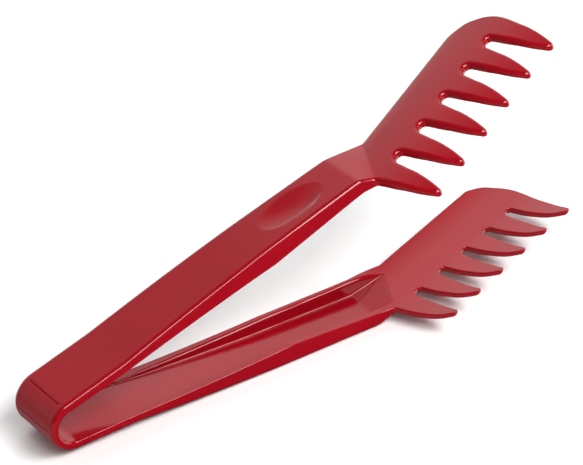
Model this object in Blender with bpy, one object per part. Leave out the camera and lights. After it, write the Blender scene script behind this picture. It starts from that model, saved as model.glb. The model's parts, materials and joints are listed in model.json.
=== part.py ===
"""Comb-headed squeeze tongs, 300 mm long, moulded in one piece of glossy red plastic.

The moulding is built as separate named regions that meet with a hairline gap.  Each jaw is a
short solid spring leg, a channel arm (web and two flanges), a neck and a comb of six tines.
A bow of three segments joins the jaws, and the two joints between its segments let the tongs
close.  Both jaws are the same shape, mirrored in the plane midway between them.
"""
import math

import bmesh
import bpy
from mathutils import Vector

MM = 0.001

# ---- driving dimensions, in millimetres and degrees ---------------------------------------
GAP = 0.3                     # clearance left between neighbouring regions
JAWS = {"upper": 1, "lower": -1}

# bow: a strip bent round the Y axis
BOW_RADIUS = 12.5
BOW_THICK = 4.2
BOW_TILT = 7.8                # each end of the bow runs out at this slope from the mid-plane
CROWN_HALF_ANGLE = 35.0       # the middle segment reaches this far each side of the apex

# arm: the outer face runs along the leg, kinks outward and then arches gently
LEG_LENGTH = 31.4
ARM_LENGTH = 134.0
ARM_SLOPE_START = 12.7
ARM_SLOPE_END = 8.1
REST_FROM, REST_TO = 76.0, 126.0    # flat stretch of the arch, measured from the kink
HALF_WIDTH = 15.8
NEAR_NARROWING = 0.4          # how much each side draws in by the end of the arm
FAR_NARROWING = 4.1
WEB_THICK = 4.2
NEAR_FLANGE_THICK = 3.8
FAR_FLANGE_THICK = 4.0
FLANGE_START = 16.0           # station where the rims stand clear of the web
NEAR_DEPTHS = (4.45, 9.7, 7.0)     # flange depth at the kink, at the knee and at the neck
FAR_DEPTHS = (5.0, 10.2, 11.6)
KNEE = 80.8                   # station of the knee, measured from the kink
OUTER_FILLET = 2.0
RIM_FILLET = 0.6

# thumb dimple in the outer face
DIMPLE_AT = 104.0             # from the kink
DIMPLE_SIDE = -1.0
DIMPLE_LENGTH, DIMPLE_WIDTH, DIMPLE_DEPTH = 35.0, 18.0, 1.3
DIMPLE_BALL = 60.0            # radius of the ball that is flattened to scoop it

# comb head: s runs along the spine, t runs towards the tine tips, both from the first slot
HEAD_AT = (183.06, -10.99, 38.29)
SPINE_YAW = 19.8
SPINE_RISE = 7.44
PLATE_THICK = 3.8
ARCH = 0.00596                # the plate is a shallow arch: height falls as ARCH * t^2
ARCH_CREST = 1.3
SPINE_T = -24.9
TINES = 6
PITCH = 20.9
TIP_OFFSET = 0.84
PLATE_NEAR_S = -16.3          # where the plate starts at its tine edge
PLATE_END = ((-24.9, 78.1), (-22.9, 84.6), (-19.8, 91.0), (-15.5, 95.5),
             (-10.9, 99.4), (-5.5, 102.4), (0.0, 104.2))
TINE_STEPS = (0.3, 4.5, 10.0, 15.0, 20.5, 25.0, 28.5, 30.4)
TINE_NEAR = (-17.0, -15.1, -13.0, -10.7, -8.2, -5.4, -2.8, -0.9)
TINE_FAR = (-1.9, -1.4, -0.7, 0.2, 0.7, 0.8, 0.3, -0.5)
END_TINE_EXTRA = 1.0          # the outermost tine is a little wider on its free side
TIP_THICK = 3.2
TINE_CHAMFER = 0.7

# neck: where it meets the comb, its floor stays a little below the plate and its rims above
NECK_RECESS = 0.4
NECK_RIM_SHARE = 0.4
NECK_EDGE_DROP = 0.5          # how far the rounded outer edge is let down there

# number of flat steps that the bow's segments are made of
CROWN_STEPS = 7
BOW_END_STEPS = 5

# the tongs lie on the flat stretch of the lower arm
FRAME_SHIFT = (-137.601, 0.542, 14.579)


def rest_slope():
    """Slope, in radians from the mid-plane, of the flat stretch the tongs lie on."""
    return arm_angle((REST_FROM + REST_TO) / 2)


def arm_angle(station):
    share = min(max(station / ARM_LENGTH, 0.0), 1.0)
    return math.radians(ARM_SLOPE_START + (ARM_SLOPE_END - ARM_SLOPE_START) * share)


def to_frame(x, y, z):
    """Turn a point of the mid-plane layout into the resting frame, in metres."""
    turn = rest_slope()
    shift_x, shift_y, shift_z = FRAME_SHIFT
    along = x * math.cos(turn) - z * math.sin(turn) + shift_x
    height = x * math.sin(turn) + z * math.cos(turn) + shift_z
    return Vector((along, y + shift_y, height)) * MM


def outer_line(station):
    """Point and slope of the upper arm's outer face; station counts from the kink."""
    tilt = math.radians(BOW_TILT)
    along = min(station, 0.0) + LEG_LENGTH
    x = -BOW_RADIUS * math.sin(tilt) + along * math.cos(tilt)
    z = BOW_RADIUS * math.cos(tilt) + along * math.sin(tilt)
    if station <= 0.0:
        return x, z, tilt
    start = arm_angle(0.0)
    here = arm_angle(station)
    bend_radius = ARM_LENGTH / (arm_angle(ARM_LENGTH) - start)
    x += bend_radius * (math.sin(here) - math.sin(start))
    z += bend_radius * (math.cos(start) - math.cos(here))
    return x, z, here


def arm_point(side, station, y, depth):
    x, z, slope = outer_line(station)
    x += depth * math.sin(slope)
    z -= depth * math.cos(slope)
    return to_frame(x, y, side * z)


def ramp(station, values):
    """Depth of one edge of the arm: level on the leg, then straight to the knee and the neck."""
    at_kink, at_knee, at_neck = values
    if station <= 0.0:
        return at_kink
    if station <= KNEE:
        return at_kink + (at_knee - at_kink) * station / KNEE
    return at_knee + (at_neck - at_knee) * (station - KNEE) / (ARM_LENGTH - KNEE)


def side_edges(station):
    share = min(max(station / ARM_LENGTH, 0.0), 1.0)
    return -(HALF_WIDTH - NEAR_NARROWING * share), HALF_WIDTH - FAR_NARROWING * share


def corner(y, depth, sign_y, radius, steps=3):
    """Rounded outer corner of a section, from the side face round to the outer face."""
    points = []
    for i in range(steps + 1):
        angle = math.pi / 2 * i / steps
        points.append((y - sign_y * radius * (1 - math.cos(angle)),
                       depth + radius * (1 - math.sin(angle))))
    return points


def web_outline(near, far, thick):
    return ([(near, thick)] + corner(near, 0.0, -1, OUTER_FILLET)
            + corner(far, 0.0, 1, OUTER_FILLET)[::-1] + [(far, thick)])


def flange_outline(outer, inner, top, depth):
    lean = RIM_FILLET if inner > outer else -RIM_FILLET
    return [(outer, top), (outer, depth - RIM_FILLET), (outer + lean, depth),
            (inner - lean, depth), (inner, depth - RIM_FILLET), (inner, top)]


def slab_outline(near, far, near_depth, far_depth):
    """Closed solid section: rounded outside, rims eased inside."""
    outline = [(near + RIM_FILLET, near_depth), (near, near_depth - RIM_FILLET)]
    outline += corner(near, 0.0, -1, OUTER_FILLET)
    outline += corner(far, 0.0, 1, OUTER_FILLET)[::-1]
    outline += [(far, far_depth - RIM_FILLET), (far - RIM_FILLET, far_depth)]
    return outline


def channel_outline(near, far, web, near_depth, far_depth):
    """Closed U section: rounded outside, flanges of the stated depths, floor at web depth."""
    near_wall = near + NEAR_FLANGE_THICK
    far_wall = far - FAR_FLANGE_THICK
    outline = [(near_wall - RIM_FILLET, near_depth), (near + RIM_FILLET, near_depth),
               (near, near_depth - RIM_FILLET)]
    outline += corner(near, 0.0, -1, OUTER_FILLET)
    outline += corner(far, 0.0, 1, OUTER_FILLET)[::-1]
    outline += [(far, far_depth - RIM_FILLET), (far - RIM_FILLET, far_depth),
                (far_wall + RIM_FILLET, far_depth), (far_wall, far_depth - RIM_FILLET),
                (far_wall, web), (near_wall, web), (near_wall, near_depth - RIM_FILLET)]
    return outline


def add_mesh(name, bm, material, pivot, smooth_angle):
    """Finish a mesh: outward faces, its origin on the pivot and a smooth-shaded surface."""
    bmesh.ops.remove_doubles(bm, verts=bm.verts, dist=1e-6)
    bmesh.ops.recalc_face_normals(bm, faces=bm.faces)
    bmesh.ops.translate(bm, verts=bm.verts, vec=-pivot)
    mesh = bpy.data.meshes.new(name)
    bm.to_mesh(mesh)
    bm.free()
    mesh.materials.append(material)
    mesh.shade_smooth()
    mesh.set_sharp_from_angle(angle=math.radians(smooth_angle))
    piece = bpy.data.objects.new(name, mesh)
    piece.location = pivot
    bpy.context.collection.objects.link(piece)
    return piece


def loft(name, sections, material, pivot, smooth_angle=40.0):
    """Skin a list of equal-length loops of points and close both ends."""
    bm = bmesh.new()
    loops = [[bm.verts.new(point) for point in section] for section in sections]
    for first, second in zip(loops, loops[1:]):
        for i in range(len(first)):
            j = (i + 1) % len(first)
            bm.faces.new((first[i], first[j], second[j], second[i]))
    bm.faces.new(loops[0][::-1])
    bm.faces.new(loops[-1])
    return add_mesh(name, bm, material, pivot, smooth_angle)


def bow_point(angle, y, depth):
    """Point of the bow: angle counts from the apex, positive towards the upper jaw."""
    turn = math.radians(180.0 - angle)
    radius = BOW_RADIUS - depth
    return to_frame(radius * math.cos(turn), y, radius * math.sin(turn))


def make_bow_segment(name, start, end, steps, material, pivot):
    outline = web_outline(-HALF_WIDTH, HALF_WIDTH, BOW_THICK)
    sections = []
    for i in range(steps + 1):
        angle = start + (end - start) * i / steps
        sections.append([bow_point(angle, y, depth) for y, depth in outline])
    return loft(name, sections, material, pivot)


def flex_gap_angle():
    """Angle, in degrees, of half the gap at a flex line, measured on the bow's inner face."""
    return math.degrees(GAP / 2 / (BOW_RADIUS - BOW_THICK))


def bow_hinge(sign):
    """Axis of the flex line between the crown and one jaw, on the bow's inner face."""
    return bow_point(sign * CROWN_HALF_ANGLE, 0.0, BOW_THICK)


def make_leg(jaw, side, material, pivot):
    sections = []
    for station in (-LEG_LENGTH + GAP / 2, -GAP / 2):
        near, far = side_edges(station)
        outline = slab_outline(near, far, ramp(station, NEAR_DEPTHS), ramp(station, FAR_DEPTHS))
        sections.append([arm_point(side, station, y, depth) for y, depth in outline])
    return loft(jaw + "_spring_leg", sections, material, pivot)


def arm_stations(first):
    return (first, 28.0, 44.0, 60.0, REST_FROM, KNEE, REST_TO, ARM_LENGTH - GAP / 2)


def flat_arm_point(side, station, y, depth):
    """As arm_point, with the stretch that the tongs lie on made truly flat."""
    if REST_FROM < station < REST_TO:
        share = (station - REST_FROM) / (REST_TO - REST_FROM)
        first = arm_point(side, REST_FROM, y, depth)
        last = arm_point(side, REST_TO, y, depth)
        return first.lerp(last, share)
    return arm_point(side, station, y, depth)


def make_arm(jaw, side, material, pivot):
    web, near_flange, far_flange = [], [], []
    top = WEB_THICK + GAP
    for station in arm_stations(GAP / 2):
        near, far = side_edges(station)
        outline = web_outline(near, far, WEB_THICK)
        web.append([flat_arm_point(side, station, y, depth) for y, depth in outline])
    for station in arm_stations(FLANGE_START):
        near, far = side_edges(station)
        near_depth = ramp(station, NEAR_DEPTHS)
        far_depth = ramp(station, FAR_DEPTHS)
        near_rim = flange_outline(near, near + NEAR_FLANGE_THICK, top, near_depth)
        far_rim = flange_outline(far, far - FAR_FLANGE_THICK, top, far_depth)
        for sections, outline in ((near_flange, near_rim), (far_flange, far_rim)):
            sections.append([flat_arm_point(side, station, y, depth) for y, depth in outline])
    plate = loft(jaw + "_arm_web", web, material, pivot)
    cut_dimple(plate, jaw, side, material)
    loft(jaw + "_arm_near_flange", near_flange, material, pivot)
    loft(jaw + "_arm_far_flange", far_flange, material, pivot)


def cut_dimple(web, jaw, side, material):
    """Scoop the shallow thumb dimple out of the outer face with a flattened ball."""
    sink = DIMPLE_BALL * (1.0 - math.sqrt(1.0 - (DIMPLE_LENGTH / 2 / DIMPLE_BALL) ** 2))
    squash = DIMPLE_DEPTH / sink
    centre = arm_point(side, DIMPLE_AT, DIMPLE_SIDE, (sink - DIMPLE_BALL) * squash)
    slope = side * outer_line(DIMPLE_AT)[2] + rest_slope()
    bm = bmesh.new()
    bmesh.ops.create_uvsphere(bm, u_segments=48, v_segments=48, radius=DIMPLE_BALL * MM)
    for vert in bm.verts:
        vert.co.y *= DIMPLE_WIDTH / DIMPLE_LENGTH
        vert.co.z *= squash
    for vert in bm.verts:
        x = vert.co.x * math.cos(slope) - vert.co.z * math.sin(slope)
        z = vert.co.x * math.sin(slope) + vert.co.z * math.cos(slope)
        vert.co.x = x
        vert.co.z = z
    cutter = add_mesh(jaw + "_dimple_cutter", bm, material, Vector((0.0, 0.0, 0.0)), 40.0)
    cutter.location = centre
    cutter.hide_render = True
    cutter.display_type = "WIRE"
    cut = web.modifiers.new("thumb_dimple", "BOOLEAN")
    cut.operation = "DIFFERENCE"
    cut.object = cutter
    cut.solver = "EXACT"


def head_axes():
    yaw = math.radians(SPINE_YAW)
    rise = math.radians(SPINE_RISE)
    spine = Vector((math.cos(yaw) * math.cos(rise), math.sin(yaw) * math.cos(rise),
                    math.sin(rise)))
    tine = Vector((0.0, -1.0, 0.0))
    normal = tine.cross(spine).normalized()
    if normal.z < 0.0:
        normal.negate()
    return spine, tine, normal


def head_point(side, s, t, lift):
    """Point of the comb: lift counts outward from the middle of the plate's thickness."""
    spine, tine, normal = head_axes()
    height = ARCH * (ARCH_CREST ** 2 - (t - ARCH_CREST) ** 2) + lift
    point = Vector(HEAD_AT) + spine * s + tine * t + normal * height
    return to_frame(point.x, point.y, side * point.z)


def plate_start(t):
    return PLATE_NEAR_S * (1.0 - t / SPINE_T)


def make_plate(jaw, side, material, pivot):
    half = PLATE_THICK / 2
    sections = []
    for t, end in PLATE_END:
        start = plate_start(t)
        sections.append([head_point(side, start, t, -half), head_point(side, start, t, half),
                         head_point(side, end, t, half), head_point(side, end, t, -half)])
    return loft(jaw + "_comb_plate", sections, material, pivot)


def make_tine(jaw, side, number, material, pivot):
    tip = number * PITCH + TIP_OFFSET
    extra = END_TINE_EXTRA if number == TINES - 1 else 0.0
    sections = []
    for t, near, far in zip(TINE_STEPS, TINE_NEAR, TINE_FAR):
        low = tip + near
        high = tip + far + extra
        half = (PLATE_THICK + (TIP_THICK - PLATE_THICK) * t / TINE_STEPS[-1]) / 2
        edge = min(TINE_CHAMFER, (high - low) / 3)
        outline = ((low, half - edge), (low + edge, half), (high - edge, half),
                   (high, half - edge), (high, edge - half), (high - edge, -half),
                   (low + edge, -half), (low, edge - half))
        sections.append([head_point(side, s, t, lift) for s, lift in outline])
    return loft("%s_tine_%d" % (jaw, number + 1), sections, material, pivot)


def make_neck(jaw, side, material, pivot):
    """Channel that closes up: full depth at the arm, flush with the comb plate at its end."""
    station = ARM_LENGTH + GAP / 2
    near, far = side_edges(station)
    outline = channel_outline(near, far, WEB_THICK, ramp(ARM_LENGTH, NEAR_DEPTHS),
                              ramp(ARM_LENGTH, FAR_DEPTHS))
    start = [arm_point(side, station, y, depth) for y, depth in outline]
    near_rim = ramp(ARM_LENGTH, NEAR_DEPTHS)
    far_rim = ramp(ARM_LENGTH, FAR_DEPTHS)
    end = []
    for y, depth in outline:
        across = (y - near) / (far - near)
        rim = near_rim + (far_rim - near_rim) * across
        if depth <= OUTER_FILLET:
            lift = PLATE_THICK / 2 - depth * NECK_EDGE_DROP
        elif depth == WEB_THICK:
            lift = NECK_RECESS - PLATE_THICK / 2
        else:
            lift = max(rim - depth, 0.0) * NECK_RIM_SHARE - PLATE_THICK / 2
        t = SPINE_T * across
        s = plate_start(t) - GAP / math.cos(math.radians(SPINE_YAW))
        end.append(head_point(side, s, t, lift))
    return loft(jaw + "_neck", [start, end], material, pivot)


def red_plastic(name, colour, roughness):
    material = bpy.data.materials.new(name)
    material.use_nodes = True
    shader = material.node_tree.nodes["Principled BSDF"]
    shader.inputs["Base Color"].default_value = (*colour, 1.0)
    shader.inputs["Roughness"].default_value = roughness
    shader.inputs["Metallic"].default_value = 0.0
    return material


def clear_scene():
    for item in list(bpy.data.objects):
        bpy.data.objects.remove(item, do_unlink=True)


def make_jaw(jaw, side, pivot):
    leg_red = red_plastic(jaw + "_leg_red", (0.36, 0.012, 0.018), 0.22)
    arm_red = red_plastic(jaw + "_arm_red", (0.38, 0.013, 0.020), 0.20)
    comb_red = red_plastic(jaw + "_comb_red", (0.40, 0.014, 0.022), 0.24)
    tilt_end = side * (90.0 - BOW_TILT)
    gap_angle = math.degrees(GAP / 2 / BOW_RADIUS)
    make_bow_segment(jaw + "_bow_end", side * (CROWN_HALF_ANGLE + flex_gap_angle()),
                     tilt_end - side * gap_angle, BOW_END_STEPS, leg_red, pivot)
    make_leg(jaw, side, leg_red, pivot)
    make_arm(jaw, side, arm_red, pivot)
    make_neck(jaw, side, comb_red, pivot)
    make_plate(jaw, side, comb_red, pivot)
    for number in range(TINES):
        make_tine(jaw, side, number, comb_red, pivot)


def main():
    clear_scene()
    crown_pivot = bow_hinge(-1)
    upper_pivot = bow_hinge(1)
    crown_red = red_plastic("crown_red", (0.34, 0.011, 0.017), 0.22)
    reach = CROWN_HALF_ANGLE - flex_gap_angle()
    make_bow_segment("bow_crown", -reach, reach, CROWN_STEPS, crown_red, crown_pivot)
    make_jaw("lower", JAWS["lower"], Vector((0.0, 0.0, 0.0)))
    make_jaw("upper", JAWS["upper"], upper_pivot)


main()
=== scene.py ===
"""Looks of the comb-headed squeeze tongs: one continuous glossy red moulding in four pieces.

Each jaw (leg, channel arm, neck and comb) is one skin built in plan coordinates: station runs
along the arm from its kink, y runs across it, and depth runs inward from the outer face.
The bow is two strips that meet in a fine line just above its apex.
Lengths are millimetres and angles degrees unless a name says otherwise.
"""
import json
import math

import bpy
import numpy as np
from mathutils import Matrix, Vector
from mathutils.geometry import delaunay_2d_cdt


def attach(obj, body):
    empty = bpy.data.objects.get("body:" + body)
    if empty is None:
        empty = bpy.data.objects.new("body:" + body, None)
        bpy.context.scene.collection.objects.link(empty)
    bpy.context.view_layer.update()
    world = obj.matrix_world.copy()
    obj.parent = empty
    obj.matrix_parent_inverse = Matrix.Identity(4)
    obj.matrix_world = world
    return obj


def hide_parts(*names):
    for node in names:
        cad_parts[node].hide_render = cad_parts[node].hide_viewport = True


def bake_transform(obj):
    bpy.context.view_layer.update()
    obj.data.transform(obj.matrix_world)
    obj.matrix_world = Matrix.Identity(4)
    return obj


MM = 0.001

# ---- bow and arm, as in the CAD model ------------------------------------------------------
BOW_RADIUS = 12.5
BOW_THICK = 4.2
BOW_TILT = 7.8                # each end of the bow runs out at this slope from the mid-plane
CROWN_HALF_ANGLE = 35.0       # the joints' flex lines are this far each side of the apex
LEG_LENGTH = 31.4
ARM_LENGTH = 134.0
ARM_SLOPE_START = 12.7
ARM_SLOPE_END = 8.1
REST_FROM, REST_TO = 76.0, 126.0    # flat stretch that the tongs lie on
KINK_SPREAD = 26.0            # the kink's shading is spread over this stretch
HALF_WIDTH = 15.8
NEAR_NARROWING = 0.4
FAR_NARROWING = 4.1
KNEE = 80.8
NEAR_DEPTHS = (4.45, 9.7, 7.0)      # rim depth at the kink, at the knee and at the neck
FAR_DEPTHS = (5.0, 10.2, 11.6)

# ---- channel inside the arm ----------------------------------------------------------------
FLOOR_DEPTH = 4.2
NEAR_WALL = (-12.0, -11.6)    # y of each channel wall at the kink and at the neck
FAR_WALL = (10.8, 8.6)
CHANNEL_START = -6.0
CHANNEL_CORNER = 2.0
CHANNEL_END_YS = (-12.1, 8.0) # y of the channel's two corners at the fold
CHANNEL_END_RADII = (1.8, 0.7)
FOLD_STEP = 0.1               # smallest step left round the channel
FLOOR_BEND_WIDTH = 0.35

# ---- thumb dimple --------------------------------------------------------------------------
DIMPLE_AT, DIMPLE_SIDE = 104.0, -1.0
DIMPLE_HALF_LENGTH, DIMPLE_HALF_WIDTH, DIMPLE_DEPTH = 17.5, 9.0, 1.5
DIMPLE_LEAN = 0.55            # the scoop is deeper towards the tine side
DIMPLE_EDGE_WIDTH = 0.06
DIMPLE_RINGS, DIMPLE_RING_POINTS = (0.982, 1.018), 72    # rings of vertices, in dimple radii

# ---- neck ----------------------------------------------------------------------------------
NECK_FROM = 133.2             # outer face starts to dip here
NECK_BEND_WIDTH, FOLD_WIDTH = 0.55, 0.35           # how softly the outer face bends there
FLOOR_BEND_AT, FLOOR_BEND_SKEW = 132.5, 0.12       # channel floor starts to climb here
FOLD_AT, FOLD_SKEW = 148.4, 0.513                  # fold between neck and comb, at y = 0
FOLD_NEAR_Y, FOLD_FAR_Y = -17.0, 15.0
NECK_RIM_FROM, NECK_RIM_SKEW = 134.5, 0.22         # inner rims start to meet the comb here
NECK_NEAR_RADIUS, NECK_FAR_RADIUS = 9.0, 30.0      # rounding where the arm meets the comb

# ---- comb head: s runs along the spine, t towards the tips ---------------------------------
HEAD_AT = (183.06, -10.99, 38.29)
SPINE_YAW = 19.8
SPINE_RISE = 7.44
ARCH = 0.00596
ARCH_CREST = 1.3
SPINE_T = -24.9
PITCH = 20.9
TINES = 6
TIP_OFFSET = 0.84
PLATE_THICK, TIP_THICK = 3.8, 2.9
SPINE_THINNING, SPINE_THIN_FROM, SPINE_THIN_OVER = 1.3, -4.0, 20.0   # thinner at the spine
THIN_FROM, THIN_TO = 6.0, 28.0
SLOT_RADIUS = 3.3
SLOT_CENTRE = (2.7, 3.3)
SLOT_NEAR_LEAN, SLOT_FAR_LEAN = 20.8, 7.0
TIP_RADIUS = 2.15
TIP_SWEEP = (217.0, 361.0)
TIP_CENTRE = (-0.75, 28.45)
NEAR_EDGE = ((-13.0, 10.0), (-10.7, 15.0), (-8.2, 20.5), (-5.6, 25.0))
FAR_EDGE = ((-0.5, 10.0), (0.5, 15.0), (1.1, 20.5), (1.45, 25.0))
END_TINE_EXTRA = 0.9
FREE_END = ((104.2, 0.0), (102.4, -5.5), (99.4, -10.9), (95.5, -15.5), (91.0, -19.8),
            (84.6, -22.9))
SPINE_END = 78.1
NEAR_CORNER, NEAR_CORNER_RADIUS = (-15.9, 0.0), 2.6
SPINE_CORNER_RADIUS = 9.0

# ---- edges ---------------------------------------------------------------------------------
OUTER_FILLET = 2.4
TIP_FILLET = 1.85
BOW_INNER_FILLET = 1.4
RIM_FILLET = 0.55
HEAD_RIM_FILLET = 0.65
CHANNEL_RIM_FILLETS = (0.6, 1.8)    # near side and far side
CHANNEL_FLOOR_FILLET = 1.2
FILLET_STEPS = 7
SEAM_WIDTH, SEAM_DEPTH = 0.42, 0.5    # half width and depth of the creases across the bow
SEAM_ROWS = (0.85, 1.04)      # rows of vertices beside a crease, in seam widths
SEAM_INSET, SEAM_FADE = 2.3, 1.0      # the creases fade out this far from the sides
APEX_LINE = 8.0               # a second crease, this far above the bow's apex
SEAM_POINTS = 14
CREASE = {1: 2.5, -1: 4.5}    # the crease beside each leg, from the leg's end round the bow
BEND_FROM, BEND_TO = 57.0, 9.0       # angles from the bow's apex; bow_place finds points at them, which nothing uses

# ---- spacing of the vertices ---------------------------------------------------------------
OUTLINE_SPACING, TINE_SPACING, CHANNEL_SPACING = 2.4, 1.7, 1.5
ARM_STEPS, CHANNEL_STEPS, BOW_STEPS, WIDTH_STEPS = 56, 58, 26, 12
RING_CLEARANCE = 0.3          # points inside a face keep this far from its outline

# ---- plastic, room and camera --------------------------------------------------------------
RED_DEEP, RED_BRIGHT = (0.300, 0.0022, 0.0085), (0.330, 0.0026, 0.0100)
PLASTIC_IOR = 1.5
BOW_GLOSS, ARM_GLOSS = 0.05, 0.06    # lowest roughness of each plastic
CLOUD_SCALE, SPECK_SCALE, SPECK_SHARE = 38.0, 2600.0, 0.06
HAZE_SCALE, HAZE_SPAN = 90.0, 0.035
SCUFF_SCALE, SCUFF_SPAN = 260.0, 0.06
GRAIN_SCALE, GRAIN_HEIGHT = 1500.0, 0.000012
FLOW_SCALE, FLOW_HEIGHT = 60.0, 0.00009
FLOOR_HALF, FLOOR_Z = 3.0, -0.0002
FLOOR_COLOUR = (0.96, 0.96, 0.96)
# brightness by direction, in tables of (place, tone) whose places run from 0 at -1 to 1 at 1
BRIGHT_SIDE = (0.62, 0.55, 0.56)     # BRIGHT_TONES runs towards this side
BRIGHT_TONES = ((0.0, 0.0), (0.905, 0.0), (0.9265, 0.20), (0.95, 0.33), (0.985, 0.52), (1.0, 0.56))
BACK_TONES = ((0.0, 0.05), (0.60, 0.05), (0.66, 0.10), (0.725, 0.24), (0.80, 0.42), (0.85, 0.48),
              (0.945, 0.50), (0.98, 1.2), (1.0, 1.4))
BELOW_TONES = ((0.0, 0.38), (0.5, 0.20), (0.66, 0.03), (0.78, 0.03), (0.86, 0.9), (1.0, 1.5))
BEHIND_TONES = ((0.0, 0.0), (0.90, 0.0), (0.955, 0.9), (1.0, 1.7))
HORIZON_BLEND = 0.015
LIGHTS_AIM, LIGHT_DISTANCE, TOP_DISTANCE = (0.0, 0.0, 0.03), 2.0, 1.8
KEY_FROM, KEY_SIZE, KEY_RADIANCE = (0.29, -0.55, 0.80), (1.0, 0.9), 11.0
SIDE_FROM, SIDE_SIZE, SIDE_RADIANCE = (0.93, -0.22, 0.27), (0.9, 1.1), 3.0
EDGE_FROM, EDGE_SIZE, EDGE_RADIANCE = (-0.13, -0.68, 0.72), (0.8, 0.5), 8.0
TOP_FROM, TOP_SIZE, TOP_RADIANCE = (0.0, 0.0, 1.0), (2.2, 2.2), 0.3
FRONT_FROM, BACK_FROM, FILL_SIZE = (-0.35, -0.75, 0.56), (0.35, 0.75, 0.56), (1.8, 1.4)
FRONT_RADIANCE, BACK_RADIANCE = 0.75, 1.6
CAMERA_AT = (-0.5740, -0.7714, 0.6203)
CAMERA_RIGHT = (0.80404, -0.59443, -0.01302)
CAMERA_UP = (0.31121, 0.40209, 0.86111)
LENS, SENSOR_WIDTH = 153.9, 36.0


def smooth(x):
    x = np.clip(x, 0.0, 1.0)
    return x * x * (3.0 - 2.0 * x)


def soft_max(a, b, k):
    """Larger of a and b, with the corner between them rounded over a width of about k."""
    h = np.clip(0.5 + 0.5 * (a - b) / k, 0.0, 1.0)
    return b * (1.0 - h) + a * h + k * h * (1.0 - h)


def soft_min(a, b, k):
    return -soft_max(-a, -b, k)


def seam_share(y):
    """How much of a crease is left at y: all of it in the middle and none at the sides."""
    return smooth((HALF_WIDTH - SEAM_INSET - np.abs(y)) / SEAM_FADE)


def arm_angle(station):
    share = np.clip(np.asarray(station, float) / ARM_LENGTH, 0.0, 1.0)
    return np.radians(ARM_SLOPE_START + (ARM_SLOPE_END - ARM_SLOPE_START) * share)


def outer_line(station):
    """x, z and slope of the upper arm's outer face in the mid-plane layout."""
    station = np.asarray(station, float)
    tilt = math.radians(BOW_TILT)
    along = np.clip(station, -LEG_LENGTH, 0.0) + LEG_LENGTH
    x = -BOW_RADIUS * math.sin(tilt) + along * math.cos(tilt)
    z = BOW_RADIUS * math.cos(tilt) + along * math.sin(tilt)
    start = math.radians(ARM_SLOPE_START)
    here = arm_angle(station)
    bend_radius = ARM_LENGTH / math.radians(ARM_SLOPE_END - ARM_SLOPE_START)
    x = x + bend_radius * (np.sin(here) - math.sin(start))
    z = z + bend_radius * (math.cos(start) - np.cos(here))
    beyond = np.maximum(station - ARM_LENGTH, 0.0)
    x = x + beyond * math.cos(math.radians(ARM_SLOPE_END))
    z = z + beyond * math.sin(math.radians(ARM_SLOPE_END))
    slope = np.where(station <= 0.0, tilt, here)
    round_bow = station < -LEG_LENGTH
    turn = tilt + np.maximum(-LEG_LENGTH - station, 0.0) / BOW_RADIUS
    x = np.where(round_bow, -BOW_RADIUS * np.sin(turn), x)
    z = np.where(round_bow, BOW_RADIUS * np.cos(turn), z)
    return x, z, np.where(round_bow, turn, slope)


def shading_slope(station):
    """Slope used for the surface normals, with the kink spread over a short stretch."""
    slope = outer_line(station)[2]
    on_leg = math.radians(BOW_TILT)
    on_arm = math.radians(ARM_SLOPE_START)
    eased = on_leg + (on_arm - on_leg) * smooth(0.5 + np.asarray(station) / KINK_SPREAD)
    near_kink = np.abs(station) < KINK_SPREAD / 2
    beyond = arm_angle(station) - on_arm
    return np.where(near_kink, eased + np.where(station > 0.0, beyond, 0.0), slope)


def flat_line(station):
    """As outer_line, with the stretch that the tongs lie on made truly flat."""
    x, z, slope = outer_line(station)
    x0, z0, _ = outer_line(REST_FROM)
    x1, z1, _ = outer_line(REST_TO)
    share = (np.asarray(station, float) - REST_FROM) / (REST_TO - REST_FROM)
    on_flat = (share > 0.0) & (share < 1.0)
    return (np.where(on_flat, x0 + (x1 - x0) * share, x),
            np.where(on_flat, z0 + (z1 - z0) * share, z), slope)


class Frame:
    """Turns the mid-plane layout into world coordinates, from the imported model's two joints."""

    def __init__(self, joints):
        low, high = (np.array(j["pos_m"], float) for j in joints)
        across = (high - low) / np.linalg.norm(high - low)
        self.up = np.array((across[0], 0.0, across[2]))
        self.along = np.array((across[2], 0.0, -across[0]))
        reach = (BOW_RADIUS - BOW_THICK) * math.cos(math.radians(CROWN_HALF_ANGLE)) * MM
        self.centre = (low + high) / 2 + self.along * reach
        self.across = np.array((0.0, 1.0, 0.0))

    def points(self, x, y, z):
        return (self.centre + np.outer(x, self.along) * MM + np.outer(y, self.across) * MM
                + np.outer(z, self.up) * MM)

    def directions(self, x, y, z):
        return np.outer(x, self.along) + np.outer(y, self.across) + np.outer(z, self.up)


# ---- comb coordinates ----------------------------------------------------------------------
END_X, END_Z, END_SLOPE = (float(v) for v in outer_line(ARM_LENGTH))
HEAD_STATION = (ARM_LENGTH + (HEAD_AT[0] - END_X) * math.cos(END_SLOPE)
                + (HEAD_AT[2] - END_Z) * math.sin(END_SLOPE))
HEAD_DEPTH = ((HEAD_AT[0] - END_X) * math.sin(END_SLOPE)
              - (HEAD_AT[2] - END_Z) * math.cos(END_SLOPE))
SPINE_X = math.cos(math.radians(SPINE_YAW)) * math.cos(math.radians(SPINE_RISE))
SPINE_Z = math.sin(math.radians(SPINE_RISE))
S_TO_STATION = SPINE_X * math.cos(END_SLOPE) + SPINE_Z * math.sin(END_SLOPE)
S_TO_Y = math.sin(math.radians(SPINE_YAW)) * math.cos(math.radians(SPINE_RISE))
S_TO_DEPTH = SPINE_X * math.sin(END_SLOPE) - SPINE_Z * math.cos(END_SLOPE)


def plan_of(s, t):
    return HEAD_STATION + S_TO_STATION * s, HEAD_AT[1] + S_TO_Y * s - t


def comb_of(station, y):
    s = (station - HEAD_STATION) / S_TO_STATION
    return s, HEAD_AT[1] + S_TO_Y * s - y


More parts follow.
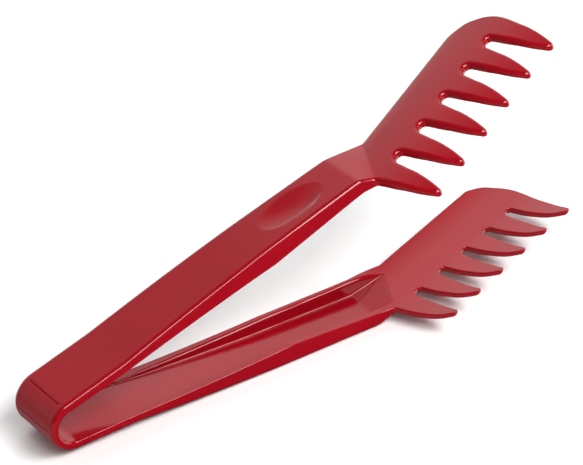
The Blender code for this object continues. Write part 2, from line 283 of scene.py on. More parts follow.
def comb_outer(station, y):
    """Depth of the comb's outer face, carried on past the comb's outline."""
    s, t = comb_of(station, y)
    rise = ARCH * (ARCH_CREST ** 2 - (t - ARCH_CREST) ** 2)
    return HEAD_DEPTH + S_TO_DEPTH * s - rise - PLATE_THICK / 2


def comb_inner(station, y):
    t = comb_of(station, y)[1]
    thin = smooth((t - THIN_FROM) / (THIN_TO - THIN_FROM))
    spine = smooth((SPINE_THIN_FROM - t) / SPINE_THIN_OVER) * SPINE_THINNING
    return comb_outer(station, y) + PLATE_THICK + (TIP_THICK - PLATE_THICK) * thin - spine


# ---- depth of every face of the jaw --------------------------------------------------------
def side_edges(station):
    share = np.clip(station / ARM_LENGTH, 0.0, 1.0)
    return -(HALF_WIDTH - NEAR_NARROWING * share), HALF_WIDTH - FAR_NARROWING * share


def ramp(station, values):
    at_kink, at_knee, at_neck = values
    rise = at_kink + (at_knee - at_kink) * np.clip(station / KNEE, 0.0, 1.0)
    share = np.clip((station - KNEE) / (ARM_LENGTH - KNEE), 0.0, 1.0)
    return rise + (at_neck - at_knee) * share


def fold_station(y):
    return FOLD_AT + FOLD_SKEW * np.clip(y, FOLD_NEAR_Y, FOLD_FAR_Y)


class Jaw:
    """Surfaces of one jaw; side is 1 for the upper jaw and -1 for the lower one."""

    def __init__(self, side):
        self.side = side
        self.end = -LEG_LENGTH - CREASE[side]

    def seam(self, station, y):
        fall = np.maximum(1.0 - (station - self.end) / SEAM_WIDTH, 0.0)
        return SEAM_DEPTH * fall * seam_share(y)

    def outer(self, station, y):
        fold = fold_station(y)
        slope = comb_outer(fold, np.clip(y, FOLD_NEAR_Y, FOLD_FAR_Y)) / (fold - NECK_FROM)
        neck = soft_max(slope * (station - NECK_FROM), 0.0 * station, NECK_BEND_WIDTH)
        comb = soft_min(neck, comb_outer(station, y), FOLD_WIDTH)
        depth = np.where(station < fold - 12.0, neck, comb)
        across = (y - DIMPLE_SIDE) / DIMPLE_HALF_WIDTH
        along = (station - DIMPLE_AT) / DIMPLE_HALF_LENGTH
        scoop = 1.0 - along ** 2 - across ** 2
        bowl = DIMPLE_DEPTH * (1.0 - DIMPLE_LEAN * across) * scoop
        dimple = np.where(scoop > -0.5, soft_max(bowl, 0.0 * bowl, DIMPLE_EDGE_WIDTH), 0.0)
        return depth + dimple + self.seam(station, y)

    def rim(self, station, y):
        """Depth of the inner face beside the channel: both rims, the leg and the comb."""
        near, far = side_edges(station)
        near_rim = ramp(station, NEAR_DEPTHS)
        far_rim = ramp(station, FAR_DEPTHS)
        share = smooth((y - near - 5.0) / (far - near - 10.0))
        depth = near_rim + (far_rim - near_rim) * share
        leg = smooth((station + LEG_LENGTH) / (LEG_LENGTH + CHANNEL_START))
        depth = BOW_THICK + (depth - BOW_THICK) * leg
        start = NECK_RIM_FROM + NECK_RIM_SKEW * y
        finish = fold_station(y)
        blend = smooth((station - start) / (finish - start))
        return depth + (comb_inner(station, y) - depth) * blend

    def floor(self, station, y):
        fold = fold_station(y)
        bend = FLOOR_BEND_AT + FLOOR_BEND_SKEW * y
        top = comb_inner(fold, y) - FOLD_STEP
        climb = FLOOR_DEPTH + (top - FLOOR_DEPTH) * (station - bend) / (fold - bend)
        sunk = soft_max(climb, FLOOR_DEPTH + 0.0 * climb, FLOOR_BEND_WIDTH)
        return soft_min(sunk, self.rim(station, y) - FOLD_STEP, FOLD_STEP)

    def outer_radius(self, station, y):
        t = comb_of(station, y)[1]
        on_tine = smooth((t - 8.0) / 16.0) * (station > FOLD_AT - 12.0)
        return OUTER_FILLET + (TIP_FILLET - OUTER_FILLET) * on_tine

    def rim_radius(self, station, y):
        on_comb = smooth((station - 128.0) / 12.0)
        radius = RIM_FILLET + (HEAD_RIM_FILLET - RIM_FILLET) * on_comb
        return np.where(station < -LEG_LENGTH - 0.15, BOW_INNER_FILLET, radius)

    def channel_rim_radius(self, station, y):
        near, far = CHANNEL_RIM_FILLETS
        radius = near + (far - near) * smooth((y + 8.0) / 14.0)
        room = self.rim(station, y) - self.floor(station, y)
        return np.minimum(radius, 0.55 * room)

    def channel_floor_radius(self, station, y):
        room = self.rim(station, y) - self.floor(station, y)
        return np.minimum(CHANNEL_FLOOR_FILLET, 0.4 * room)


# ---- plan outlines -------------------------------------------------------------------------
def arc(centre, radius, start, stop, step=11.0):
    count = max(2, math.ceil(abs(stop - start) / step))
    angles = [math.radians(start + (stop - start) * i / count) for i in range(count + 1)]
    return [(centre[0] + radius * math.cos(a), centre[1] + radius * math.sin(a)) for a in angles]


def line(start, stop, spacing):
    count = max(1, round(math.dist(start, stop) / spacing))
    return [(start[0] + (stop[0] - start[0]) * i / count,
             start[1] + (stop[1] - start[1]) * i / count) for i in range(count + 1)]


def curve(points, spacing):
    """Smooth curve from the second point to the last but one; the end points set its direction."""
    knots = np.array(points, float)
    out = []
    for before, start, stop, after in zip(knots, knots[1:], knots[2:], knots[3:]):
        length = np.linalg.norm(stop - start)
        leave = (stop - before) * length / (np.linalg.norm(start - before) + length)
        arrive = (after - start) * length / (np.linalg.norm(after - stop) + length)
        count = max(1, round(length / spacing))
        for i in range(count):
            u = i / count
            out.append(tuple((2 * u ** 3 - 3 * u ** 2 + 1) * start
                             + (u ** 3 - 2 * u ** 2 + u) * leave
                             + (3 * u ** 2 - 2 * u ** 3) * stop + (u ** 3 - u ** 2) * arrive))
    out.append(tuple(knots[-2]))
    return out


def rounded(before, corner, after, radius, step=11.0):
    """Arc that rounds one corner of a path."""
    corner = np.array(corner, float)
    a = np.array(before, float) - corner
    b = np.array(after, float) - corner
    a /= np.linalg.norm(a)
    b /= np.linalg.norm(b)
    half = math.acos(float(np.clip(a @ b, -1.0, 1.0))) / 2
    middle = (a + b) / np.linalg.norm(a + b)
    centre = corner + middle * radius / math.sin(half)
    first = corner + a * radius / math.tan(half) - centre
    sweep = math.pi - 2 * half
    turn = math.copysign(sweep, float(a[1] * b[0] - a[0] * b[1]))
    count = max(2, math.ceil(math.degrees(sweep) / step))
    out = []
    for i in range(count + 1):
        c, s = math.cos(turn * i / count), math.sin(turn * i / count)
        out.append((centre[0] + c * first[0] - s * first[1],
                    centre[1] + s * first[0] + c * first[1]))
    return out


def tine_path(number):
    """Plan of one tine's near edge, tip and far edge; the last one runs on round the comb's
    free end."""
    last = number == TINES - 1
    extra = END_TINE_EXTRA if last else 0.0
    base = number * PITCH + TIP_OFFSET
    centre = plan_of(base + TIP_CENTRE[0] + extra / 2, TIP_CENTRE[1])
    tip = arc(centre, TIP_RADIUS + extra / 2, *TIP_SWEEP, 13.0)
    lean = math.radians(SLOT_NEAR_LEAN)
    start = ((number - 1) * PITCH + SLOT_CENTRE[0] + SLOT_RADIUS * math.cos(lean),
             SLOT_CENTRE[1] - SLOT_RADIUS * math.sin(lean))
    near = [(start[0] - math.sin(lean), start[1] - math.cos(lean)), start]
    near += [(base + s, t) for s, t in NEAR_EDGE]
    far = [(base + s + extra, t) for s, t in FAR_EDGE[::-1]]
    if last:
        far += FREE_END
        far += [(SPINE_END, SPINE_T), (SPINE_END - 6.0, SPINE_T)]
    else:
        lean = math.radians(SLOT_FAR_LEAN)
        side = number * PITCH + SLOT_CENTRE[0] - SLOT_RADIUS * math.cos(lean)
        stop = (side, SLOT_CENTRE[1] + SLOT_RADIUS * math.sin(lean))
        far += [stop, (stop[0] - math.sin(lean), stop[1] - math.cos(lean))]
    near_path = curve([plan_of(*p) for p in near] + tip[:2], TINE_SPACING)
    far_path = curve(tip[-2:] + [plan_of(*p) for p in far], TINE_SPACING)
    return near_path[:-1] + tip + far_path[1:]


def jaw_outline(jaw):
    """Open path round the jaw's plan, from the bow end's near corner to its far corner."""
    end = jaw.end
    tangent = -LEG_LENGTH
    stations = [end] + [end + share * SEAM_WIDTH for share in SEAM_ROWS]
    stations += [(end + SEAM_WIDTH + tangent) / 2, tangent - 0.3, tangent,
                 tangent + 1.5, tangent + 3.5, tangent + 6.0]
    stations += list(np.linspace(tangent + 9.0, ARM_LENGTH - 3.0, ARM_STEPS))
    path = [(station, side_edges(station)[0]) for station in stations]
    neck_near = (ARM_LENGTH, side_edges(ARM_LENGTH)[0])
    corner = plan_of(*NEAR_CORNER)
    comb = [tine_path(number) for number in range(TINES)]
    first = comb[0][1]
    path += rounded(path[-1], neck_near, corner, NECK_NEAR_RADIUS)
    path += rounded(neck_near, corner, first, NEAR_CORNER_RADIUS)
    for number, tine in enumerate(comb):
        path += tine[1 if number == 0 else 0:]
        if number < TINES - 1:
            middle = (number * PITCH + SLOT_CENTRE[0], SLOT_CENTRE[1])
            bend = arc(middle, SLOT_RADIUS, 180.0 - SLOT_FAR_LEAN, 360.0 - SLOT_NEAR_LEAN)
            path += [plan_of(s, t) for s, t in bend[1:-1]]
    far_corner = plan_of(0.0, SPINE_T)
    neck_far = (ARM_LENGTH, side_edges(ARM_LENGTH)[1])
    spine = line(plan_of(SPINE_END, SPINE_T), plan_of(3.0, SPINE_T), OUTLINE_SPACING)
    path += spine[1:]
    path += rounded(spine[-1], far_corner, neck_far, SPINE_CORNER_RADIUS, 4.0)
    path += line(path[-1], neck_far, OUTLINE_SPACING)[1:-2]
    path += rounded(far_corner, neck_far, (0.0, side_edges(0.0)[1]), NECK_FAR_RADIUS, 3.0)
    path += [(station, side_edges(station)[1]) for station in stations[::-1]]
    return np.array(path)


def channel_outline():
    """Closed path round the channel, in the same sense as the jaw's outline."""
    def near(station):
        return station, NEAR_WALL[0] + (NEAR_WALL[1] - NEAR_WALL[0]) * station / ARM_LENGTH

    def far(station):
        return station, FAR_WALL[0] + (FAR_WALL[1] - FAR_WALL[0]) * station / ARM_LENGTH

    near_corner = (float(fold_station(CHANNEL_END_YS[0])), CHANNEL_END_YS[0])
    far_corner = (float(fold_station(CHANNEL_END_YS[1])), CHANNEL_END_YS[1])
    stations = list(np.linspace(CHANNEL_START + 4.0, ARM_LENGTH - 2.0, CHANNEL_STEPS))
    path = rounded(far(CHANNEL_START), near(CHANNEL_START), near(0.0), CHANNEL_CORNER)
    path += [near(station) for station in stations]
    near_radius, far_radius = CHANNEL_END_RADII
    near_bend = rounded(path[-1], near_corner, far_corner, near_radius)
    far_bend = rounded(near_corner, far_corner, far(ARM_LENGTH - 2.0), far_radius)
    path += line(path[-1], near_bend[0], CHANNEL_SPACING)[1:-1] + near_bend
    path += line(near_bend[-1], far_bend[0], 1.2)[1:-1] + far_bend
    path += line(path[-1], far(ARM_LENGTH - 2.0), CHANNEL_SPACING)[1:-1]
    path += [far(station) for station in stations[::-1]]
    path += rounded(far(0.0), far(CHANNEL_START), near(CHANNEL_START), CHANNEL_CORNER)
    path += line(path[-1], path[0], 2.0)[1:-1]
    return np.array(path)


def normals_of(path, closed):
    """Outward directions of a path that keeps the solid on its left."""
    if closed:
        ahead, behind = np.roll(path, -1, 0), np.roll(path, 1, 0)
    else:
        ahead = np.vstack((path[1:], path[-1:]))
        behind = np.vstack((path[:1], path[:-1]))
    forward = ahead - path
    backward = path - behind
    for leg in (forward, backward):
        size = np.linalg.norm(leg, axis=1, keepdims=True)
        np.divide(leg, size, out=leg, where=size > 1e-9)
    mean = forward + backward
    if not closed:
        mean[0] = path[2] - path[1]
        mean[-1] = path[-2] - path[-3]
    mean /= np.linalg.norm(mean, axis=1, keepdims=True)
    return np.column_stack((mean[:, 1], -mean[:, 0]))


def inside(points, ring):
    """Which points lie within a closed ring."""
    x, y = points[:, 0][:, None], points[:, 1][:, None]
    x0, y0 = ring[:, 0], ring[:, 1]
    x1, y1 = np.roll(x0, -1), np.roll(y0, -1)
    span = np.where(y1 == y0, 1e-12, y1 - y0)
    crosses = ((y0 > y) != (y1 > y)) & (x < (x1 - x0) * (y - y0) / span + x0)
    return crosses.sum(1) % 2 == 1


def clear_of(points, ring, gap):
    """Which points keep at least gap from every edge of a closed ring."""
    leg = np.roll(ring, -1, 0) - ring
    size = np.maximum((leg ** 2).sum(1), 1e-12)
    offset = points[:, None, :] - ring[None]
    share = np.clip((offset * leg).sum(2) / size, 0.0, 1.0)
    away = offset - share[..., None] * leg
    return np.sqrt((away ** 2).sum(2)).min(1) > gap


def grid(low, high, spacing, squeeze=1.0):
    """Staggered grid of plan points, closer along the station when squeeze is below 1."""
    rows = np.arange(low[1], high[1], spacing * 0.87)
    points = []
    for number, y in enumerate(rows):
        step = spacing * squeeze
        xs = np.arange(low[0] + (number % 2) * step / 2, high[0], step)
        points.append(np.column_stack((xs, np.full_like(xs, y))))
    return np.vstack(points)


class Skin:
    """Collects the jaw's vertices (station, y, depth), their normals and the faces."""

    def __init__(self):
        self.places, self.normals, self.faces = [], [], []

    def add(self, plan, depth, normal):
        first = len(self.places)
        self.places += [tuple(p) for p in np.column_stack((plan, depth))]
        self.normals += [tuple(n) for n in normal]
        return list(range(first, first + len(plan)))

    def slope(self, surface, plan):
        """Normal of the outward side of a depth surface, as (along, across, outward)."""
        step = 0.02
        x, y = plan[:, 0], plan[:, 1]
        slope_x = (surface(x + step, y) - surface(x - step, y)) / (2 * step)
        slope_y = (surface(x, y + step) - surface(x, y - step)) / (2 * step)
        normal = np.column_stack((slope_x, slope_y, np.ones_like(x)))
        return normal / np.linalg.norm(normal, axis=1, keepdims=True)

    def edge(self, path, out, surface, radius, facing, inset, rise):
        """Rings of one rounded edge between a face and the wall, the face's ring first.

        facing is 1 for a face that looks outward and -1 inward; inset is 1 where the face
        lies on the left of the path; rise is 1 where the wall leaves the face inward.
        """
        radius = radius(path[:, 0], path[:, 1])
        wall = np.column_stack((out, np.zeros(len(out))))
        wall *= inset if facing == rise else -inset
        rings = []
        for i in range(FILLET_STEPS + 1):
            angle = math.pi / 2 * (1 - i / FILLET_STEPS)
            plan = path - out * (inset * radius * (1 - math.cos(angle)))[:, None]
            depth = surface(plan[:, 0], plan[:, 1]) + rise * radius * (1 - math.sin(angle))
            face = self.slope(surface, plan) * facing
            rings.append(self.add(plan, depth, face * math.sin(angle) + wall * math.cos(angle)))
        return rings

    def bridge(self, first, second, closed):
        count = len(first)
        for i in range(count if closed else count - 1):
            j = (i + 1) % count
            self.faces.append((first[i], second[i], second[j], first[j]))

    def bridge_all(self, rings, closed):
        for first, second in zip(rings, rings[1:]):
            self.bridge(first, second, closed)

    def plan(self, ids):
        return np.array([self.places[i][:2] for i in ids])

    def fill(self, boundary, holes, extra, surface, facing):
        """Triangulate a face between its boundary vertices, with extra plan points inside."""
        loops = [boundary] + holes
        ids = [i for loop in loops for i in loop]
        rings = [self.plan(loop) for loop in loops]
        keep = inside(extra, rings[0]) & clear_of(extra, rings[0], RING_CLEARANCE)
        for hole in rings[1:]:
            keep &= ~inside(extra, hole) & clear_of(extra, hole, RING_CLEARANCE)
        extra = extra[keep]
        edges, offset = [], 0
        for loop in loops:
            count = len(loop)
            edges += [(offset + k, offset + (k + 1) % count) for k in range(count)]
            offset += count
        normal = self.slope(surface, extra) * facing
        ids += self.add(extra, surface(extra[:, 0], extra[:, 1]), normal)
        points, _, faces, origins, _, _ = delaunay_2d_cdt(
            [Vector(p) for p in self.plan(ids)], edges, [], 1, 1e-6)
        points = np.array([tuple(p) for p in points])
        middles = np.array([points[list(face)].mean(0) for face in faces])
        keep = inside(middles, rings[0])
        for hole in rings[1:]:
            keep &= ~inside(middles, hole)
        for face, wanted in zip(faces, keep):
            if wanted:
                corners = [ids[origins[k][0]] for k in face]
                self.faces.append(tuple(corners if facing > 0 else corners[::-1]))


def jaw_skin(jaw):
    skin = Skin()
    path = jaw_outline(jaw)
    out = normals_of(path, False)
    outer = skin.edge(path, out, jaw.outer, jaw.outer_radius, 1, 1, 1)
    inner = skin.edge(path, out, jaw.rim, jaw.rim_radius, -1, 1, -1)
    skin.bridge_all(outer + inner[::-1], False)
    channel = channel_outline()
    away = normals_of(channel, True)
    top = skin.edge(channel, away, jaw.rim, jaw.channel_rim_radius, -1, -1, -1)
    foot = skin.edge(channel, away, jaw.floor, jaw.channel_floor_radius, -1, 1, 1)
    skin.bridge_all(top + foot[::-1], True)

    def closing(ring, surface, facing):
        """Vertices across the open end, from the ring's last vertex back to its first."""
        ends = skin.places[ring[-1]][1], skin.places[ring[0]][1]
        y = np.linspace(*ends, WIDTH_STEPS)[1:-1]
        plan = np.column_stack((np.full_like(y, jaw.end), y))
        return skin.add(plan, surface(plan[:, 0], plan[:, 1]), skin.slope(surface, plan) * facing)

    outer_end = closing(outer[0], jaw.outer, 1)
    inner_end = closing(inner[0], jaw.rim, -1)
    outer_points = np.vstack((face_grid(jaw.end, OUTER_PATCHES), dimple_rings()))
    skin.fill(outer[0] + outer_end, [], outer_points, jaw.outer, 1)
    skin.fill(inner[0] + inner_end, [top[0]], face_grid(jaw.end, INNER_PATCHES), jaw.rim, -1)
    skin.fill(foot[0], [], face_grid(jaw.end, FLOOR_PATCHES), jaw.floor, -1)
    rings = outer + inner[::-1]
    cap = [ring[0] for ring in rings] + inner_end[::-1] + [ring[-1] for ring in rings[::-1]]
    skin.faces.append(tuple((cap + outer_end)[::-1]))
    return skin


# patches of plan points: from station, to station, low y, high y, spacing, squeeze
OUTER_PATCHES = (
    (None, -LEG_LENGTH + 1.0, -14.0, 14.0, 3.0, 0.3),
    (-LEG_LENGTH + 2.0, 84.0, -14.0, 14.0, 3.6, 1.0),
    (84.6, 123.4, -11.4, 9.4, 1.1, 1.0),
    (84.6, 123.4, -14.0, -11.9, 2.2, 1.0),
    (84.6, 123.4, 10.2, 14.0, 2.2, 1.0),
    (124.6, 159.0, -17.0, 16.0, 1.25, 0.7),
    (160.2, 262.0, -50.0, 42.0, 2.3, 1.0),
    (140.0, 160.0, -50.0, -17.6, 2.3, 1.0),
)
INNER_PATCHES = (
    (None, -LEG_LENGTH + 1.0, -14.0, 14.0, 3.0, 0.3),
    (-LEG_LENGTH + 2.0, CHANNEL_START + 1.0, -14.0, 14.0, 3.0, 0.8),
    (CHANNEL_START + 2.0, 128.0, -14.6, -13.0, 1.6, 1.5),
    (CHANNEL_START + 2.0, 128.0, 10.0, 14.4, 1.6, 1.5),
    (128.8, 160.0, -17.0, 16.0, 1.25, 1.0),
    (161.0, 262.0, -50.0, 42.0, 2.3, 1.0),
    (140.0, 160.0, -50.0, -17.6, 2.3, 1.0),
)
FLOOR_PATCHES = (
    (CHANNEL_START, 8.0, -14.0, 14.0, 1.4, 1.0),
    (9.6, 126.0, -14.0, 14.0, 3.4, 1.0),
    (127.0, 156.0, -14.0, 14.0, 1.2, 0.7),
)


def face_grid(end, patches):
    """Plan points of a face's patches; one that starts at None starts beside the crease."""
    parts = []
    for start, stop, low, high, spacing, squeeze in patches:
        if start is None:
            across = np.linspace(low, high, SEAM_POINTS)
            for share in SEAM_ROWS:
                row = np.full_like(across, end + share * SEAM_WIDTH)
                parts.append(np.column_stack((row, across)))
            start = end + SEAM_WIDTH + 0.7
        parts.append(grid((start, low), (stop, high), spacing, squeeze))
    return np.vstack(parts)


def dimple_rings():
    """Plan points just inside and just outside the thumb dimple's edge."""
    angle = np.linspace(0.0, 2 * math.pi, DIMPLE_RING_POINTS, endpoint=False)
    rings = [np.column_stack((DIMPLE_AT + share * DIMPLE_HALF_LENGTH * np.cos(angle),
                              DIMPLE_SIDE + share * DIMPLE_HALF_WIDTH * np.sin(angle)))
             for share in DIMPLE_RINGS]
    return np.vstack(rings)


# ---- meshes --------------------------------------------------------------------------------
def make_mesh(name, points, normals, faces, material):
    mesh = bpy.data.meshes.new(name)
    mesh.from_pydata([tuple(p) for p in points], [], faces)
    mesh.materials.append(material)
    mesh.shade_smooth()
    lengths = np.linalg.norm(normals, axis=1, keepdims=True)
    mesh.normals_split_custom_set_from_vertices([tuple(n) for n in normals / lengths])
    piece = bpy.data.objects.new(name, mesh)
    bpy.context.scene.collection.objects.link(piece)
    return piece


def make_jaw(frame_axes, name, side, material):
    skin = jaw_skin(Jaw(side))
    station, y, depth = np.array(skin.places).T
    x, z, _ = flat_line(station)
    slope = outer_line(station)[2]
    soft_slope = shading_slope(station)
    points = frame_axes.points(x + depth * np.sin(slope), y, side * (z - depth * np.cos(slope)))
    along, across, outward = np.array(skin.normals).T
    c, s = np.cos(soft_slope), np.sin(soft_slope)
    normals = frame_axes.directions(along * c - outward * s, across,
                                    side * (along * s + outward * c))
    faces = skin.faces if side > 0 else [face[::-1] for face in skin.faces]
    return make_mesh(name, points, normals, faces, material)


def bow_profile():
    """Closed section of the bow: y, depth and the normal's two parts, all round."""
    rows = []

    def corner(sign, depth, radius, facing, order):
        for i in order:
            angle = math.pi / 2 * i / FILLET_STEPS
            y = sign * (HALF_WIDTH - radius * (1 - math.cos(angle)))
            rows.append((y, depth + facing * radius * (1 - math.sin(angle)),
                         sign * math.cos(angle), facing * math.sin(angle)))

    def across(low, high, depth, facing):
        for y in np.linspace(low, high, WIDTH_STEPS)[1:-1]:
            rows.append((y, depth, 0.0, facing))

    up, down = range(FILLET_STEPS + 1), range(FILLET_STEPS, -1, -1)
    flat_out = HALF_WIDTH - OUTER_FILLET
    flat_in = HALF_WIDTH - BOW_INNER_FILLET
    corner(-1, 0.0, OUTER_FILLET, 1, up)
    across(-flat_out, flat_out, 0.0, 1)
    corner(1, 0.0, OUTER_FILLET, 1, down)
    corner(1, BOW_THICK, BOW_INNER_FILLET, -1, up)
    across(flat_in, -flat_in, BOW_THICK, -1)
    corner(-1, BOW_THICK, BOW_INNER_FILLET, -1, down)
    return np.array(rows)


def make_bow_strip(frame_axes, name, side, material):
    """Strip from the apex line to the crease beside one jaw, with half a groove at each end."""
    profile = bow_profile()
    last = 90.0 - BOW_TILT - math.degrees(CREASE[side] / BOW_RADIUS)
    groove = math.degrees(SEAM_WIDTH / BOW_RADIUS)
    first = side * APEX_LINE
    angles = [first] + [first + share * groove for share in SEAM_ROWS]
    angles += list(np.linspace(first + 3.0 * groove, last - 3.0 * groove, BOW_STEPS))
    angles += [last - share * groove for share in SEAM_ROWS[::-1]] + [last]
    lean = math.atan(SEAM_DEPTH / SEAM_WIDTH)
    creased = np.where(profile[:, 3] > 0.5, seam_share(profile[:, 0]), 0.0)
    points, normals, faces = [], [], []
    count = len(profile)
    for angle in angles:
        turn = math.radians(180.0 - side * angle)
        at_last = max(0.0, 1.0 - (last - angle) / groove)
        at_first = max(0.0, 1.0 - (angle - first) / groove)
        sunk = SEAM_DEPTH * (at_last + at_first) * creased
        tilt = lean * creased * (float(at_last > 0.0) - float(at_first > 0.0))
        y = profile[:, 0] - sunk * profile[:, 2]
        radius = BOW_RADIUS - profile[:, 1] - sunk * profile[:, 3]
        x, z = radius * math.cos(turn), radius * math.sin(turn)
        points.append(frame_axes.points(x, y, z))
        out_x, out_z = math.cos(turn), math.sin(turn)
        side_on = np.cos(tilt)
        normals.append(frame_axes.directions(
            profile[:, 3] * out_x * side_on + side * out_z * np.sin(tilt),
            profile[:, 2] * side_on,
            profile[:, 3] * out_z * side_on - side * out_x * np.sin(tilt)))
    for ring in range(len(angles) - 1):
        for i in range(count):
            j = (i + 1) % count
            a, b = ring * count, (ring + 1) * count
            faces.append((a + i, b + i, b + j, a + j))
    faces.append(tuple(range(count)))
    faces.append(tuple(range(len(angles) * count - 1, (len(angles) - 1) * count - 1, -1)))
    if side < 0:
        faces = [face[::-1] for face in faces]
    return make_mesh(name, np.vstack(points), np.vstack(normals), faces, material)


def bow_place(frame_axes, side, angle):
    """Point at mid thickness of the bow, at an angle from its apex."""
    turn = math.radians(180.0 - side * angle)
    radius = BOW_RADIUS - BOW_THICK / 2
    return tuple(frame_axes.points([radius * math.cos(turn)], [0.0],
                                   [radius * math.sin(turn)])[0])


# ---- material ------------------------------------------------------------------------------
class Nodes:
    """Short forms for building a material's nodes."""

    def __init__(self, tree):
        self.tree = tree

    def node(self, kind, **settings):
        node = self.tree.nodes.new(kind)
        for key, value in settings.items():
            if isinstance(value, bpy.types.NodeSocket):
                self.tree.links.new(value, node.inputs[key])
            elif key in node.inputs:
                node.inputs[key].default_value = value
            else:
                setattr(node, key, value)
        return node

    def noise(self, place, scale, detail, stretch=(1.0, 1.0, 1.0)):
        mapping = self.node("ShaderNodeMapping", Vector=place, Scale=stretch)
        return self.node("ShaderNodeTexNoise", Vector=mapping.outputs[0], Scale=scale,
                         Detail=detail).outputs["Fac"]

    def spread(self, value, low, high, to_low, to_high):
        node = self.node("ShaderNodeMapRange", Value=value)
        for name, number in (("From Min", low), ("From Max", high),
                             ("To Min", to_low), ("To Max", to_high)):
            node.inputs[name].default_value = number
        return node.outputs[0]

    def tones(self, value, table):
        """Brightness looked up in a table whose places run from 0 at value -1 to 1 at value 1."""
        ramp_node = self.node("ShaderNodeValToRGB", Fac=self.spread(value, -1.0, 1.0, 0.0, 1.0))
        elements = ramp_node.color_ramp.elements
        while len(elements) < len(table):
            elements.new(0.5)
        for element, (at, tone) in zip(elements, table):
            element.position = at
            element.color = (tone, tone, tone, 1.0)
        return ramp_node.outputs["Color"]

    def sum(self, first, second):
        node = self.node("ShaderNodeMath", operation="ADD")
        self.tree.links.new(first, node.inputs[0])
        self.tree.links.new(second, node.inputs[1])
        return node.outputs[0]


def red_plastic(name, gloss):
    """Moulded polypropylene: deep red, glossy, with faint flow marks, fine dimpling and wear."""
    material = bpy.data.materials.new(name)
    material.use_nodes = True
    nodes = Nodes(material.node_tree)
    shader = material.node_tree.nodes["Principled BSDF"]
    shader.inputs["IOR"].default_value = PLASTIC_IOR
    place = nodes.node("ShaderNodeTexCoord").outputs["Object"]
    cloud = nodes.noise(place, CLOUD_SCALE, 3.0, (0.5, 1.0, 1.0))
    speck = nodes.noise(place, SPECK_SCALE, 2.0)
    ramp_node = nodes.node("ShaderNodeValToRGB", Fac=cloud)
    low, high = ramp_node.color_ramp.elements
    low.position, high.position = 0.3, 0.7
    low.color, high.color = (*RED_DEEP, 1.0), (*RED_BRIGHT, 1.0)
    mix = nodes.node("ShaderNodeMix", data_type="RGBA", blend_type="MULTIPLY")
    mix.inputs["Factor"].default_value = SPECK_SHARE
    material.node_tree.links.new(ramp_node.outputs["Color"], mix.inputs["A"])
    material.node_tree.links.new(speck, mix.inputs["B"])
    material.node_tree.links.new(mix.outputs["Result"], shader.inputs["Base Color"])
    haze = nodes.spread(nodes.noise(place, HAZE_SCALE, 4.0, (0.4, 1.0, 1.0)), 0.3, 0.7,
                        gloss, gloss + HAZE_SPAN)
    scuffs = nodes.spread(nodes.noise(place, SCUFF_SCALE, 6.0, (0.06, 1.0, 1.0)), 0.62, 0.74,
                          0.0, SCUFF_SPAN)
    material.node_tree.links.new(nodes.sum(haze, scuffs), shader.inputs["Roughness"])
    grain = nodes.noise(place, GRAIN_SCALE, 2.0)
    flow = nodes.noise(place, FLOW_SCALE, 2.0, (0.25, 1.0, 1.0))
    fine = nodes.node("ShaderNodeBump", Height=grain, Strength=0.25, Distance=GRAIN_HEIGHT)
    wide = nodes.node("ShaderNodeBump", Height=flow, Strength=0.5, Distance=FLOW_HEIGHT,
                      Normal=fine.outputs[0])
    material.node_tree.links.new(wide.outputs[0], shader.inputs["Normal"])
    return material


# ---- studio --------------------------------------------------------------------------------
def add_floor():
    mesh = bpy.data.meshes.new("studio_floor")
    half = FLOOR_HALF
    mesh.from_pydata([(-half, -half, FLOOR_Z), (half, -half, FLOOR_Z), (half, half, FLOOR_Z),
                      (-half, half, FLOOR_Z)], [], [(0, 1, 2, 3)])
    material = bpy.data.materials.new("pale_floor")
    material.use_nodes = True
    shader = material.node_tree.nodes["Principled BSDF"]
    shader.inputs["Base Color"].default_value = (*FLOOR_COLOUR, 1.0)
    shader.inputs["Roughness"].default_value = 0.9
    shader.inputs["Specular IOR Level"].default_value = 0.0
    mesh.materials.append(material)
    floor = bpy.data.objects.new("studio_floor", mesh)
    bpy.context.scene.collection.objects.link(floor)
    floor.visible_glossy = False


def aim(item, toward):
    item.rotation_euler = (Vector(toward) - item.location).to_track_quat("-Z", "Y").to_euler()


def add_softbox(name, direction, distance, size, radiance, glossy):
    """Area light that faces the object; radiance is its brightness, glossy if it is reflected."""
    light = bpy.data.lights.new(name, "AREA")
    light.shape = "RECTANGLE"
    light.size, light.size_y = size
    light.energy = radiance * math.pi * size[0] * size[1]
    item = bpy.data.objects.new(name, light)
    item.location = Vector(direction).normalized() * distance
    bpy.context.scene.collection.objects.link(item)
    aim(item, LIGHTS_AIM)
    item.visible_glossy = glossy
    item.visible_camera = False


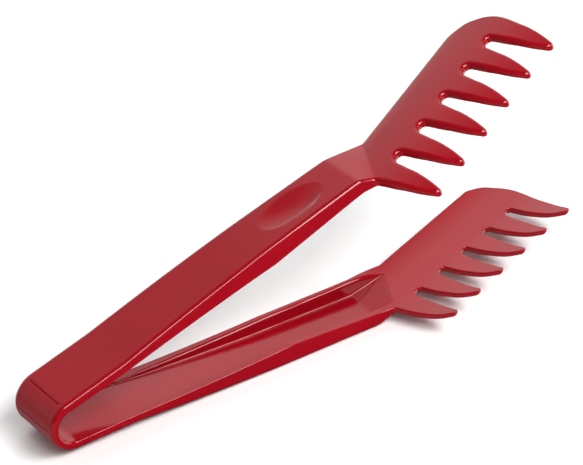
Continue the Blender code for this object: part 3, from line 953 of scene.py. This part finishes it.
def add_world():
    """Studio walls: brightness by direction, with tables of their own above and below the
    horizon."""
    world = bpy.data.worlds.new("studio")
    world.use_nodes = True
    bpy.context.scene.world = world
    nodes = Nodes(world.node_tree)
    background = world.node_tree.nodes["Background"]
    direction = nodes.node("ShaderNodeTexCoord").outputs["Generated"]
    apart = nodes.node("ShaderNodeSeparateXYZ", Vector=direction)
    dot = nodes.node("ShaderNodeVectorMath", operation="DOT_PRODUCT")
    world.node_tree.links.new(direction, dot.inputs[0])
    dot.inputs[1].default_value = Vector(BRIGHT_SIDE).normalized()
    above = nodes.sum(nodes.tones(dot.outputs["Value"], BRIGHT_TONES),
                      nodes.tones(apart.outputs["Y"], BACK_TONES))
    below = nodes.sum(nodes.tones(apart.outputs["X"], BELOW_TONES),
                      nodes.tones(apart.outputs["Y"], BEHIND_TONES))
    horizon = nodes.spread(apart.outputs["Z"], -HORIZON_BLEND, HORIZON_BLEND, 0.0, 1.0)
    shade = nodes.node("ShaderNodeMix", data_type="FLOAT", Factor=horizon)
    world.node_tree.links.new(below, shade.inputs["A"])
    world.node_tree.links.new(above, shade.inputs["B"])
    world.node_tree.links.new(shade.outputs["Result"], background.inputs["Strength"])
    background.inputs["Color"].default_value = (1.0, 1.0, 1.0, 1.0)


def add_camera():
    camera = bpy.data.cameras.new("camera")
    camera.lens = LENS
    camera.sensor_width = SENSOR_WIDTH
    item = bpy.data.objects.new("camera", camera)
    bpy.context.scene.collection.objects.link(item)
    right, up = Vector(CAMERA_RIGHT).normalized(), Vector(CAMERA_UP).normalized()
    back = right.cross(up).normalized()
    up = back.cross(right)
    turn = Matrix((right, up, back)).transposed().to_4x4()
    item.matrix_world = Matrix.Translation(CAMERA_AT) @ turn
    bpy.context.scene.camera = item


def jaw_nodes(jaw):
    parts = ["spring_leg", "arm_web", "arm_near_flange", "arm_far_flange", "neck", "comb_plate"]
    parts += ["tine_%d" % (number + 1) for number in range(TINES)]
    return ["%s_%s" % (jaw, part) for part in parts]


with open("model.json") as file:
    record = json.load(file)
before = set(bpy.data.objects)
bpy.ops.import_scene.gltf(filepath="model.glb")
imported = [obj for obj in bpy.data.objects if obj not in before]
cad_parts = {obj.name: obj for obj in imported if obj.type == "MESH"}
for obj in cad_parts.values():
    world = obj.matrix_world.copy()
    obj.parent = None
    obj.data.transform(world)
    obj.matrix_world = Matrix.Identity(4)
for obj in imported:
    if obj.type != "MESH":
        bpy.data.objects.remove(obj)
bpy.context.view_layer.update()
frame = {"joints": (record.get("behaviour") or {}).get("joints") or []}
axes = Frame(frame["joints"])
bow_plastic = red_plastic("bow_red_plastic", BOW_GLOSS)
arm_plastic = red_plastic("arm_red_plastic", ARM_GLOSS)

lower = make_jaw(axes, "lower_jaw_moulding", -1, arm_plastic)
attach(lower, "lower_jaw")
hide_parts(*jaw_nodes("lower"))
upper = make_jaw(axes, "upper_jaw_moulding", 1, arm_plastic)
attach(upper, "upper_jaw")
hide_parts(*jaw_nodes("upper"))
lower_bow = make_bow_strip(axes, "lower_bow_strip", -1, bow_plastic)
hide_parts("lower_bow_end", "bow_crown")
bow_place(axes, -1, BEND_FROM)
bow_place(axes, -1, BEND_TO)
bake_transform(lower_bow)
upper_bow = make_bow_strip(axes, "upper_bow_strip", 1, bow_plastic)
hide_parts("upper_bow_end")
bow_place(axes, 1, BEND_TO)
bow_place(axes, 1, BEND_FROM)
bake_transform(upper_bow)

add_floor()
add_world()
add_softbox("key_softbox", KEY_FROM, LIGHT_DISTANCE, KEY_SIZE, KEY_RADIANCE, True)
add_softbox("side_softbox", SIDE_FROM, LIGHT_DISTANCE, SIDE_SIZE, SIDE_RADIANCE, True)
add_softbox("edge_softbox", EDGE_FROM, LIGHT_DISTANCE, EDGE_SIZE, EDGE_RADIANCE, True)
add_softbox("top_fill", TOP_FROM, TOP_DISTANCE, TOP_SIZE, TOP_RADIANCE, False)
add_softbox("front_fill", FRONT_FROM, LIGHT_DISTANCE, FILL_SIZE, FRONT_RADIANCE, False)
add_softbox("back_fill", BACK_FROM, LIGHT_DISTANCE, FILL_SIZE, BACK_RADIANCE, False)
add_camera()
bpy.context.scene.view_settings.view_transform = "Standard"
